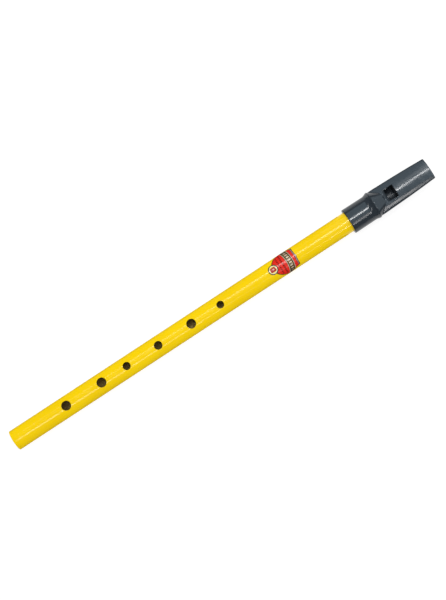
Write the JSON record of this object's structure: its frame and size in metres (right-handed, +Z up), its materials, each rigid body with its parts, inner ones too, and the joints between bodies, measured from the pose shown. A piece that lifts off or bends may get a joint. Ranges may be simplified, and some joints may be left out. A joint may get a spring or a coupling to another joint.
{
  "type": "tin whistle",
  "caption": "Six-hole fipple flute: a straight thin-walled tube with an open foot and a moulded push-on mouthpiece that slides on the tube to tune it.",
  "frame": {"origin": "centre of the tube's open foot end, on the tube's axis", "axes": "+X along the tube from the foot end to the beak, +Z up through the finger holes and the window, +Y across, to the left when looking from the foot end towards the beak"},
  "size_m": [0.2948, 0.0174, 0.0187],
  "materials": {
    "lacquered_brass": "glossy yellow lacquer on brass, bare brass in the bore",
    "head_plastic": "slate-grey moulded plastic, semi-gloss",
    "block_plastic": "slate-grey moulded plastic, semi-gloss",
    "label_film": "printed transfer film, red field with cream, gold and dark lines, under clear varnish"
  },
  "bodies": {
    "tube_body": {"tube": "lacquered_brass", "label_transfer": "label_film"},
    "head": {"mouthpiece": "head_plastic", "fipple_block": "block_plastic"}
  },
  "joints": [
    {"name": "tuning_slide", "type": "slide", "parent": "tube_body", "child": "head", "axis": [1, 0, 0], "range_m": [0, 0.008]}
  ]
}
